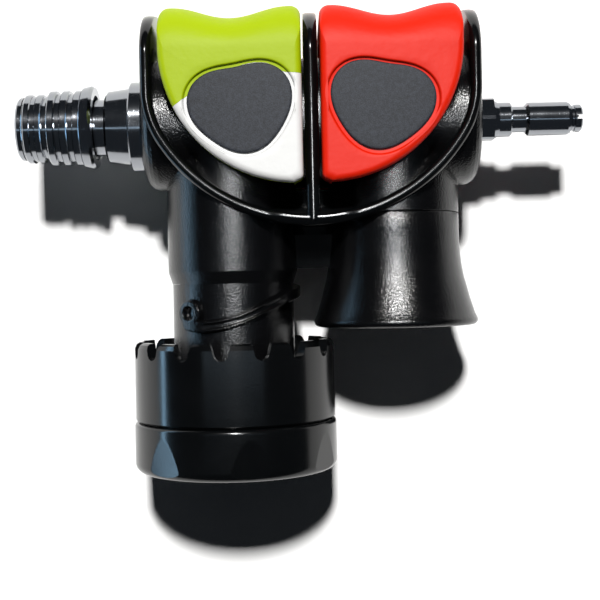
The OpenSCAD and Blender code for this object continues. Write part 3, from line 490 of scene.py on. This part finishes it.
def makePlates(name, body, replaced, mirrored, shift):  # the grey plate of one button, front and back
    points, faces = [], []
    rings = [(-1.2, 0.0), (-0.9, 0.02), (-0.42, 0.05), (-0.2, 0.14), (-0.1, 0.3), (-0.08, 1.0)]
    steps = 96
    for side in (1, -1):
        rows = []
        for grow, drop in rings:
            z = side * (button["half"] - plate["sunk"] - drop * plate["thickness"])
            row = []
            for i in range(steps):
                a = 2 * math.pi * i / steps
                r = plateRadius(a, grow)
                row.append((plate["x"] + r * math.cos(a), plate["y"] + shift + r * math.sin(a), z))
            rows.append(row)
        more, sides = grid(rows, capEnds=True)
        faces += [tuple(i + len(points) for i in face) for face in sides]
        points += more
    piece = makePiece(name, points, faces, "label_grey", 50)
    if mirrored:
        mirrorX(piece)
    stand(piece, body, replaced, slot="label_grey")


# each spring's node, the joint that shortens it, its axis and its fixed end
springs = (
    ("signal_return_spring", "signal_button_press", 1, 0),
    ("horn_return_spring", "horn_button_press", 1, 0),
    ("striker_spring", "striker_strike", 1, 0),
    ("sleeve_spring", "outlet_sleeve_pull", 0, 1),
    ("poppet_spring", "outlet_poppet_open", 0, 1),
)


def makeSpring(node, joint, axis, fixedEnd):
    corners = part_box(node)
    length = corners[1][axis] - corners[0][axis]
    travel = next(j["range_m"][1] for j in frame["record"]["behaviour"]["joints"] if j["name"] == joint)
    anchor = list(origin)
    anchor[axis] = corners[fixedEnd][axis]
    spring = copyOf(nodes[node], node + "_coil")
    spring.parent = None
    stand(spring, "housing", node, slot=slotOf[node])
    (length - travel) / length
    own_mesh(spring)


makeButtons()
for spring in springs:
    makeSpring(*spring)
print("springs made:", len(springs))
makePlates("signal_plates", "signal_button", "signal_labels", True, 0.0)
makePlates("horn_plates", "horn_button", "horn_labels", False, 0.25)
print("buttons made")


guard = {
    "width": 88, "wall": 3.0, "divider": 3.6,
    "half": 20.25,  # half of the depth
    "top": 29.5, "crown": 16.0,  # where the front edge starts to curve back
    "bend": 7.0, "corner": 23.5, "drop": 28.5,
    "slopedRim": 9.0,  # half-width over which the rim slopes outward, at the bottom
    "webHalf": 13.5, "webHigh": 8.4, "webDeep": 14.5, "webTop": 7.5, "webRound": 3.0,
    "bridgeX": 18.0, "bridgeEnd": 39.2, "bridgeDeep": 4.0, "bridgeBend": 35.0,
    "ledgeHigh": 3.4,
    "gap": 0.05,
    "barrel": 17.5, "neck": 17.5,
}


def crownPlaces(x, side, thick):  # down one wall from its top: place, outward direction, setback
    g = guard
    end = math.acos((thick / 2 + 0.01) / g["half"])
    places = []
    for i in range(29):
        a = end * (1 - i / 28)
        places.append(((x, g["crown"] + (g["top"] - g["crown"]) * math.sin(a) / math.sin(end)), (side, 0),
                       g["half"] * (1 - math.cos(a))))
    return places


def turnPlaces(cx, cy, r, start, end, steps):
    return [((cx + r * math.cos(a), cy + r * math.sin(a)), (math.cos(a), math.sin(a)), 0.0)
            for a in (start + (end - start) * i / steps for i in range(1, steps + 1))]


def hoopPlaces():
    g = guard
    sideX, bottomY = (g["width"] - g["wall"]) / 2, -(g["drop"] - g["wall"] / 2)
    cornerX, rise = sideX - g["corner"], g["bend"] - bottomY
    low = (cornerX ** 2 + rise ** 2 - g["corner"] ** 2) / (2 * (rise - g["corner"]))
    meet = math.atan2(bottomY + low - g["bend"], cornerX)
    left = crownPlaces(-sideX, -1, g["wall"])
    right = crownPlaces(sideX, 1, g["wall"])[::-1]
    start, end = math.pi, 2 * math.pi
    places = (left + [((-sideX, g["bend"]), (-1, 0), 0.0)]
              + turnPlaces(-cornerX, g["bend"], g["corner"], start, start + meet, 40)
              + turnPlaces(0, bottomY + low, low, start + meet, end - meet, 80)
              + turnPlaces(cornerX, g["bend"], g["corner"], end - meet, end, 40) + right)
    return places, bottomY


def wallPiece(name, places, thick, sloped=False):
    g = guard
    reach = g["half"] - thick / 2
    rows = []
    for (x, y), (outX, outY), setback in places:
        slope = max(0.0, min(1.0, (g["slopedRim"] + 2 - abs(x)) / 2)) if y < 0 and sloped else 0.0
        row = []
        for i in range(32):
            a = math.pi * i / 15.5 if i < 16 else math.pi * (i - 0.5) / 15.5
            across, high = thick / 2 * math.cos(a), thick / 2 * abs(math.sin(a))
            high *= 1 - 0.6 * slope * (0.5 + across / thick)
            z = max(0.0, reach + high - setback)
            row.append((x + outX * across, y + outY * across, z if i < 16 else -z))
        rows.append(row)
    return makePiece(name, *grid(rows, capEnds=True))


def loftBlock(name, layers):  # layers: (low corner, high corner, y), rounded in the plan
    rows = []
    for (x0, z0), (x1, z1), y, r in layers:
        row = []
        corners = ((x1 - r, z1 - r, 0), (x0 + r, z1 - r, 90), (x0 + r, z0 + r, 180), (x1 - r, z0 + r, 270))
        for cx, cz, start in corners:
            row += [(px, y, pz) for px, pz in arc(cx, cz, r, start, start + 90, 6)]
        rows.append(row)
    return makePiece(name, *grid(rows, capEnds=True))


def makeGuard():
    g = guard
    places, bottomY = hoopPlaces()
    hoop = wallPiece("button_guard", places, g["wall"], sloped=True)
    divider = crownPlaces(0, -1, g["divider"])
    carve(hoop, wallPiece("divider", divider + [((0, bottomY), (-1, 0), 0.0)], g["divider"]), "UNION")
    w, top, r = g["webHalf"], bottomY + g["webHigh"], g["webRound"]
    layers = [((-w, -g["webDeep"]), (w, g["webDeep"]), bottomY - 0.4, r)]
    for i in range(7):
        share = i / 6
        deep = g["webDeep"] + (g["webTop"] - g["webDeep"]) * share ** 1.4
        inset = 1.2 * (1 - math.sqrt(max(0.0, 1 - share ** 4)))
        layers.append(((-w + inset, -deep), (w - inset, deep), bottomY + 1 + (top - bottomY - 1) * share, r))
    carve(hoop, loftBlock("web", layers), "UNION")
    b, d = g["bridgeX"], g["bridgeDeep"]
    carve(hoop, loftBlock("bridge", [
        ((-b, -d * 0.7), (b, d * 0.7), -g["bridgeEnd"], 0.8),
        ((-b, -d * 0.85), (b, d * 0.85), -g["bridgeBend"], 0.8),
        ((-b, -d * 1.3), (b, d * 1.3), bottomY, 0.8)]), "UNION")
    ledge = [(-5.5, 0), (5.5, 0), (5.5, d + 2), (3.5, d + 3.5), (-3.5, d + 3.5), (-5.5, d + 2)]
    levels = ((bottomY - g["ledgeHigh"], 0.72), (bottomY, 1.0))
    rows = [[(x, y, z * lean) for x, z in ledge] for y, lean in levels]
    carve(hoop, makePiece("ledge", *grid(rows, capEnds=True)), "UNION")
    # room for the barrel and the necks
    carve(hoop, rod("barrel_room", g["barrel"] + g["gap"], -60, 60, "X", (0, 0)))
    for side in (-1, 1):
        carve(hoop, rod("neck_room", g["neck"] + g["gap"], -60, 5, "Y", (side * tubeX, 0)))
    stand(dress(hoop, "black_smooth"), "housing", "guard_front", "guard_rear", slot="black_plastic")


makeGuard()
print("guard made")

bell = {
    "top": 25.05, "end": 55.3,  # below the barrel's axis
    "outside": ((16.9, 25.05), (17.3, 25.2), (17.5, 25.6), (17.5, 30), (17.6, 34), (18.0, 38.4), (18.6, 42),
                (19.4, 45), (20.2, 48), (21.0, 50.6), (21.5, 52.2)),
    "bead": 1.35, "beadR": 20.85,  # the round lip
    "mouth": 20.0, "throat": 4.5, "throatEnd": 21.5,
}


def makeBell():
    b = bell
    beadY = b["end"] - b["bead"]
    outside = list(b["outside"]) + [(b["beadR"] + b["bead"] * math.cos(math.radians(t)),
                                     beadY + b["bead"] * math.sin(math.radians(t))) for t in range(-30, 91, 12)]
    mouth, throat, throatEnd = b["mouth"], b["throat"], b["throatEnd"]
    outside += [(mouth + 0.5, b["end"]), (mouth + 0.1, b["end"] - 0.25)]
    inside = []
    for i in range(41):
        share = 1 - i / 40
        inside.append((throat * (mouth / throat) ** (share ** 1.2),
                       throatEnd + (b["end"] - 0.5 - throatEnd) * share))
    profile = outside + inside + [(throat, b["top"])]
    rows = []
    for r, down in profile:
        rows.append([(tubeX + r * math.cos(2 * math.pi * i / 160), -down, r * math.sin(2 * math.pi * i / 160))
                     for i in range(160)])
    rows.append(rows[0])
    piece = makePiece("horn_bell_form", *grid(rows), "black_plastic", 40)
    stand(piece, "housing", "horn_bell", slot="black_plastic")


rib = {
    "tube": 16.35, "height": 1.9, "width": 3.1, "round": 0.8,
    # angle from the front towards the inlet, and the height of the middle line
    "line": ((-40, -53.6), (-30, -54.3), (-12, -54.0), (8.6, -52.5), (21.4, -50.8), (35.4, -48.9), (60, -46.6),
             (90, -45.2), (144, -44.4)),
    "footAngle": -38, "footY": -50.6, "foot": 3.5, "eye": 1.7,
    "fromAngle": -58, "angles": 220, "angleSteps": 440,  # the stretch of tube that the skin covers
    "fromY": -58.2, "high": 16.4, "ySteps": 82,
    "sunk": 0.25, "skin": 0.8,  # below the tube's surface: where there is no rib, and the inner side
}


def ribMiddle(angle):
    line = rib["line"]
    for (a0, y0), (a1, y1) in zip(line, line[1:]):
        if angle <= a1:
            t = max(0.0, (angle - a0) / (a1 - a0))
            return y0 + (y1 - y0) * t
    return line[-1][1]


def softStep(value, low, high):
    t = max(0.0, min(1.0, (value - low) / (high - low)))
    return t * t * (3 - 2 * t)


def ribHeight(angle, y):
    c = rib
    first, last = c["line"][0][0], c["line"][-1][0]
    inside = min(max(angle, first), last)
    middle = sum(ribMiddle(inside + d) for d in (-8, -4, 0, 4, 8)) / 5
    along = math.radians(angle - inside) * c["tube"]
    away = math.hypot(y - middle, along)
    band = softStep(c["width"] / 2 + c["round"] / 2 - away, 0, c["round"])
    foot = math.hypot(math.radians(angle - c["footAngle"]) * c["tube"], y - c["footY"])
    boss = softStep(c["foot"] + c["round"] / 2 - foot, 0, c["round"])
    eye = softStep(c["eye"] + 0.25 - foot, 0, 0.5)
    groove = 0.5 * softStep(0.9 - abs(y - middle), 0, 0.5) * softStep(angle, -30, -15) * softStep(-angle, -60, -30)
    return c["height"] * (max(band, boss) - 0.8 * eye) - groove * band


def makeRib():  # a closed skin over the tube, sunk below its surface where there is no rib
    c = rib
    angles = [c["fromAngle"] + c["angles"] * i / c["angleSteps"] for i in range(c["angleSteps"] + 1)]
    heights = [c["fromY"] + c["high"] * i / c["ySteps"] for i in range(c["ySteps"] + 1)]
    rows = []
    for angle in angles:
        a = math.radians(angle)
        row = []
        for y in heights:
            r = c["tube"] - c["sunk"] + (ribHeight(angle, y) * (c["height"] + c["sunk"]) / c["height"])
            row.append((-tubeX + r * math.sin(a), y, r * math.cos(a)))
        for y in reversed(heights):
            r = c["tube"] - c["skin"]
            row.append((-tubeX + r * math.sin(a), y, r * math.cos(a)))
        rows.append(row)
    piece = makePiece("tube_rib", *grid(rows, capEnds=True), "black_plastic", 50)
    stand(piece, "housing", "cam_rib", slot="black_plastic")


capEnd = {
    "outer": 27.3, "inner": 24.35, "lip": 20.4, "seatR": 22.4,
    "seam": 79.75, "bottom": 93.2, "lap": 74.6, "seat": 90.0,
    "topRound": 1.1, "bottomRound": 2.6,
    "flats": 7, "firstFlat": 10.6, "flatStart": 82.6, "lean": 3.6,  # flats that widen towards the bottom
}


def makeCapEnd():
    c = capEnd
    profile = [(c["inner"], c["lap"]), (c["inner"], c["seam"])]
    top, low = c["topRound"], c["bottomRound"]
    profile += [(x, y) for x, y in arc(c["outer"] - top, c["seam"] + top, top, -90, 0, 24)]
    side = c["bottom"] - low - c["seam"] - top
    profile += [(c["outer"], c["seam"] + top + side * i / 24) for i in range(1, 24)]
    profile += arc(c["outer"] - low, c["bottom"] - low, low, 0, 90, 30)
    profile += [(c["lip"], c["bottom"]), (c["lip"], c["seat"]), (c["seatR"], c["seat"]), (c["seatR"], c["lap"])]
    steps = 720
    rows = []
    for i in range(steps):
        angle = 360 * i / steps
        away = (angle - c["firstFlat"] + 180 / c["flats"]) % (360 / c["flats"]) - 180 / c["flats"]
        row = []
        for r, down in profile:
            if r > c["inner"] + 0.5 and down > c["flatStart"]:
                plane = c["outer"] - (down - c["flatStart"]) * math.tan(math.radians(c["lean"]))
                r = min(r, plane / math.cos(math.radians(away)))
            a = math.radians(angle)
            row.append((-tubeX + r * math.sin(a), -down, r * math.cos(a)))
        rows.append(row)
    rows.append(rows[0])
    piece = makePiece("cap_end_form", *grid(rows), "black_smooth", 4)
    stand(piece, "volume_cap", "cap_end_ring", slot="black_plastic")


makeBell()
makeRib()
makeCapEnd()
print("bell, rib and cap end made")

studio = {
    "floorColour": (0.93, 0.93, 0.93, 1),
    "floorSeen": (1.3, 1.3, 1.3, 1),  # for the camera and reflections
    "floorHalf": 2.5,
    "sky": (0.62, 0.72, 0.85, 1),
    "skyStrength": 0.008,
    "skySeen": 1.0,  # behind the floor's edge
    "skyMirrored": 0.04,
    "lamps": {
        "key_box": {"place": (0.0, 1.75, 3.22), "target": (0, 0, 0), "size": (0.28, 0.28), "power": 140,
                    "colour": (1.0, 0.995, 0.98)},
        "flash": {"place": (0.008, 0.065, 0.5), "target": (0, 0, 0.02), "size": (0.035, 0.10), "power": 0.95,
                  "colour": (0.96, 0.98, 1.0), "glossOnly": True},
        "ceiling": {"place": (0.0, -0.065, 0.70), "target": (0, -0.065, 0), "size": (0.9, 0.05), "power": 0.15,
                    "colour": (0.66, 0.84, 1.0), "glossOnly": True},
        "left_strip": {"place": (-0.25, -0.02, 0.062), "target": (0, -0.02, 0.03), "size": (0.34, 0.022),
                       "power": 0.22, "colour": (0.42, 0.72, 1.0), "glossOnly": True},
    },
}


def lightPath(finish, ray):
    return finish.node("ShaderNodeLightPath", output=ray)


def makeStudio(settings):
    half = settings["floorHalf"]
    mesh = bpy.data.meshes.new("floor")
    mesh.from_pydata([(-half, -half, 0), (half, -half, 0), (half, half, 0), (-half, half, 0)], [], [(0, 1, 2, 3)])
    floor = bpy.data.objects.new("floor", mesh)
    bpy.context.collection.objects.link(floor)
    f = Finish("floor_paper", Specular_IOR_Level=0.1)
    fibre = f.noise(0.004, 5.0)
    f.bump(fibre, 0.00003)
    seen = lightPath(f, "Is Camera Ray") + lightPath(f, "Is Glossy Ray") + lightPath(f, "Is Transmission Ray")
    mesh.materials.append(f.paint(
        Base_Color=f.blend(seen, settings["floorColour"], settings["floorSeen"]), Roughness=fibre * 0.1 + 0.75))
    for name, one in settings["lamps"].items():
        data = bpy.data.lights.new(name, "AREA")
        data.shape = "RECTANGLE"
        data.size, data.size_y = one["size"]
        data.energy, data.color = one["power"], one["colour"]
        lamp = bpy.data.objects.new(name, data)
        lamp.location = one["place"]
        lamp.rotation_mode = "QUATERNION"
        lamp.rotation_quaternion = (Vector(one["target"]) - Vector(one["place"])).to_track_quat("-Z", "Y")
        lamp.visible_diffuse = "glossOnly" not in one
        lamp.visible_camera = False
        bpy.context.collection.objects.link(lamp)
    world = bpy.data.worlds.new("sky")
    world.use_nodes = True
    sky = world.node_tree.nodes["Background"]
    w = Finish.onTree(world.node_tree)
    direct = lightPath(w, "Is Camera Ray")
    mirrored = lightPath(w, "Is Glossy Ray") + lightPath(w, "Is Transmission Ray")
    w.feed(sky.inputs["Color"], w.blend(direct, settings["sky"], (1, 1, 1, 1)))
    w.feed(sky.inputs["Strength"], direct * settings["skySeen"] + mirrored * settings["skyMirrored"]
           + settings["skyStrength"])
    bpy.context.scene.world = world
    bpy.context.scene.view_settings.view_transform = "Standard"


makeStudio(studio)
print("studio set")
